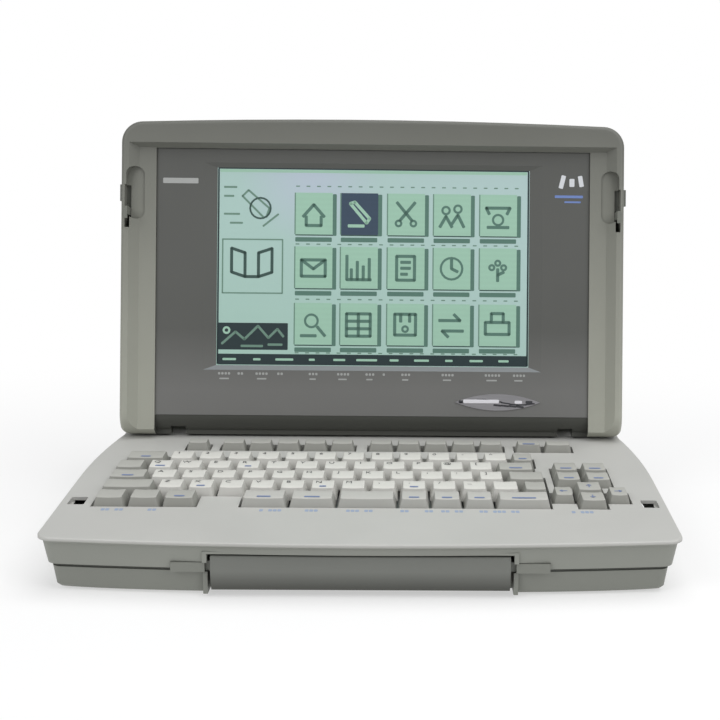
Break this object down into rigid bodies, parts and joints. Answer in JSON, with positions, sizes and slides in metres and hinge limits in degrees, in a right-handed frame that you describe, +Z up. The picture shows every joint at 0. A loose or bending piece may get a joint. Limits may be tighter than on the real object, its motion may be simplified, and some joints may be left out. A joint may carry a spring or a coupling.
{
  "type": "electronic word processor",
  "caption": "Portable word processor with a fold-down display lid, sloping keyboard deck, thermal printer behind the lid and a pull-out carrying handle.",
  "frame": {"origin": "on the table, under the middle of the body's outline", "axes": "+X to the right of the person typing, +Y to the back, +Z up"},
  "size_m": [0.352, 0.2959, 0.2534],
  "materials": {
    "case_mid": "moulded, fine texture",
    "case_light": "moulded, fine texture",
    "panel_dark": "moulded, fine texture",
    "key_white": "satin keycap",
    "key_grey": "satin keycap",
    "grip": "moulded",
    "glass": "matt display glass",
    "badge": "satin",
    "steel": "bright zinc",
    "zinc_sheet": "galvanised sheet",
    "rubber": "moulded",
    "belt": "moulded",
    "board": "solder mask",
    "black_plastic": "moulded",
    "nylon": "natural acetal",
    "membrane": "polyester film",
    "lamp": "fluorescent tube",
    "bronze": "sintered"
  },
  "bodies": {
    "body": {"lower_case": "case_mid", "upper_case": "case_mid", "deck_cover": "case_light", "keyboard_plate": "zinc_sheet", "keyboard_tray": "zinc_sheet", "membrane_sheet": "membrane", "main_board": "board", "dc_jack": "black_plastic", "floppy_drive": "black_plastic", "printer_side_plates": "zinc_sheet", "printer_chassis": "zinc_sheet", "guide_shaft": "steel", "platen_bushes": "bronze", "feed_motor": "steel", "carriage_motor": "steel", "drive_belt": "belt", "hinge_brackets": "steel", "case_screws": "steel", "rubber_feet": "rubber"},
    "lid": {"lid_back_shell": "case_mid", "lid_frame": "case_mid", "display_panel": "panel_dark", "lcd_module": "zinc_sheet", "lcd_glass": "glass", "backlight_lamp": "lamp", "inverter_board": "board", "hinge_leaves": "steel", "badge": "badge"},
    "left_latch": {"left_latch": "case_mid"},
    "right_latch": {"right_latch": "case_mid"},
    "handle": {"handle_grip": "grip", "handle_straps": "case_mid"},
    "function_keys": {"function_keys": "key_grey"},
    "number_keys": {"number_keys": "key_white"},
    "upper_letter_keys": {"upper_letter_keys": "key_white"},
    "home_letter_keys": {"home_letter_keys": "key_white"},
    "lower_letter_keys": {"lower_letter_keys": "key_white"},
    "command_keys": {"command_keys": "key_grey"},
    "space_bar": {"space_bar": "key_white"},
    "return_key": {"return_key": "key_grey"},
    "left_shift_key": {"left_shift_key": "key_grey"},
    "right_shift_key": {"right_shift_key": "key_grey"},
    "cursor_up_key": {"cursor_up_key": "key_grey"},
    "cursor_down_key": {"cursor_down_key": "key_grey"},
    "cursor_left_key": {"cursor_left_key": "key_grey"},
    "cursor_right_key": {"cursor_right_key": "key_grey"},
    "edit_keys": {"edit_keys": "key_grey"},
    "printer_cover": {"printer_cover": "case_mid"},
    "platen": {"platen_roller": "rubber", "platen_shaft": "steel", "platen_gear": "nylon", "feed_knob": "black_plastic"},
    "feed_pinion": {"feed_pinion": "nylon"},
    "carriage": {"print_carriage": "black_plastic", "thermal_head": "black_plastic", "ribbon_cassette": "black_plastic"},
    "power_switch": {"power_switch": "black_plastic"},
    "contrast_dial": {"contrast_dial": "black_plastic"},
    "eject_button": {"eject_button": "case_mid"}
  },
  "joints": [
    {"name": "lid_hinge", "type": "hinge", "parent": "body", "child": "lid", "pos_m": [0, 0.05094, 0.05795], "axis": [1, 0, 0], "range_deg": [-20, 104.2]},
    {"name": "handle_slide", "type": "slide", "parent": "body", "child": "handle", "axis": [0, -1, 0], "range_m": [0, 0.03]},
    {"name": "left_latch_slide", "type": "slide", "parent": "lid", "child": "left_latch", "axis": [0, -0.1942, -0.981], "range_m": [0, 0.005]},
    {"name": "right_latch_slide", "type": "slide", "parent": "lid", "child": "right_latch", "axis": [0, -0.1942, -0.981], "range_m": [0, 0.005]},
    {"name": "function_keys_travel", "type": "slide", "parent": "body", "child": "function_keys", "axis": [0, -0.0523, 0.9986], "range_m": [-0.0025, 0], "stiffness_N_per_m": 800, "springref_m": 0.001},
    {"name": "number_keys_travel", "type": "slide", "parent": "body", "child": "number_keys", "axis": [0, -0.0523, 0.9986], "range_m": [-0.0025, 0], "stiffness_N_per_m": 800, "springref_m": 0.001},
    {"name": "upper_letter_keys_travel", "type": "slide", "parent": "body", "child": "upper_letter_keys", "axis": [0, -0.0523, 0.9986], "range_m": [-0.0025, 0], "stiffness_N_per_m": 800, "springref_m": 0.001},
    {"name": "home_letter_keys_travel", "type": "slide", "parent": "body", "child": "home_letter_keys", "axis": [0, -0.0523, 0.9986], "range_m": [-0.0025, 0], "stiffness_N_per_m": 800, "springref_m": 0.001},
    {"name": "lower_letter_keys_travel", "type": "slide", "parent": "body", "child": "lower_letter_keys", "axis": [0, -0.0523, 0.9986], "range_m": [-0.0025, 0], "stiffness_N_per_m": 800, "springref_m": 0.001},
    {"name": "command_keys_travel", "type": "slide", "parent": "body", "child": "command_keys", "axis": [0, -0.0523, 0.9986], "range_m": [-0.0025, 0], "stiffness_N_per_m": 800, "springref_m": 0.001},
    {"name": "space_bar_travel", "type": "slide", "parent": "body", "child": "space_bar", "axis": [0, -0.0523, 0.9986], "range_m": [-0.0025, 0], "stiffness_N_per_m": 300, "springref_m": 0.001},
    {"name": "return_key_travel", "type": "slide", "parent": "body", "child": "return_key", "axis": [0, -0.0523, 0.9986], "range_m": [-0.0025, 0], "stiffness_N_per_m": 300, "springref_m": 0.001},
    {"name": "left_shift_key_travel", "type": "slide", "parent": "body", "child": "left_shift_key", "axis": [0, -0.0523, 0.9986], "range_m": [-0.0025, 0], "stiffness_N_per_m": 300, "springref_m": 0.001},
    {"name": "right_shift_key_travel", "type": "slide", "parent": "body", "child": "right_shift_key", "axis": [0, -0.0523, 0.9986], "range_m": [-0.0025, 0], "stiffness_N_per_m": 300, "springref_m": 0.001},
    {"name": "cursor_up_key_travel", "type": "slide", "parent": "body", "child": "cursor_up_key", "axis": [0, -0.0523, 0.9986], "range_m": [-0.0025, 0], "stiffness_N_per_m": 300, "springref_m": 0.001},
    {"name": "cursor_down_key_travel", "type": "slide", "parent": "body", "child": "cursor_down_key", "axis": [0, -0.0523, 0.9986], "range_m": [-0.0025, 0], "stiffness_N_per_m": 300, "springref_m": 0.001},
    {"name": "cursor_left_key_travel", "type": "slide", "parent": "body", "child": "cursor_left_key", "axis": [0, -0.0523, 0.9986], "range_m": [-0.0025, 0], "stiffness_N_per_m": 300, "springref_m": 0.001},
    {"name": "cursor_right_key_travel", "type": "slide", "parent": "body", "child": "cursor_right_key", "axis": [0, -0.0523, 0.9986], "range_m": [-0.0025, 0], "stiffness_N_per_m": 300, "springref_m": 0.001},
    {"name": "edit_keys_travel", "type": "slide", "parent": "body", "child": "edit_keys", "axis": [0, -0.0523, 0.9986], "range_m": [-0.0025, 0], "stiffness_N_per_m": 800, "springref_m": 0.001},
    {"name": "printer_cover_hinge", "type": "hinge", "parent": "body", "child": "printer_cover", "pos_m": [0, 0.118, 0.0615], "axis": [1, 0, 0], "range_deg": [-95, 0]},
    {"name": "platen_spin", "type": "hinge", "parent": "body", "child": "platen", "pos_m": [0, 0.11, 0.04], "axis": [1, 0, 0], "continuous": true},
    {"name": "feed_pinion_spin", "type": "hinge", "parent": "body", "child": "feed_pinion", "pos_m": [0.1365, 0.12358, 0.02642], "axis": [1, 0, 0], "continuous": true},
    {"name": "carriage_travel", "type": "slide", "parent": "body", "child": "carriage", "axis": [1, 0, 0], "range_m": [0, 0.168]},
    {"name": "power_switch_slide", "type": "slide", "parent": "body", "child": "power_switch", "axis": [0, 1, 0], "range_m": [0, 0.005]},
    {"name": "contrast_dial_turn", "type": "hinge", "parent": "body", "child": "contrast_dial", "pos_m": [0.1581, 0.084, 0.05], "axis": [0, 0, 1], "range_deg": [-135, 135]},
    {"name": "eject_button_push", "type": "slide", "parent": "body", "child": "eject_button", "axis": [1, 0, 0], "range_m": [-0.0026, 0], "stiffness_N_per_m": 300, "springref_m": 0.001}
  ],
  "couplings": [
    {"joint": "feed_pinion_spin", "follows": "platen_spin", "ratio": -3}
  ]
}
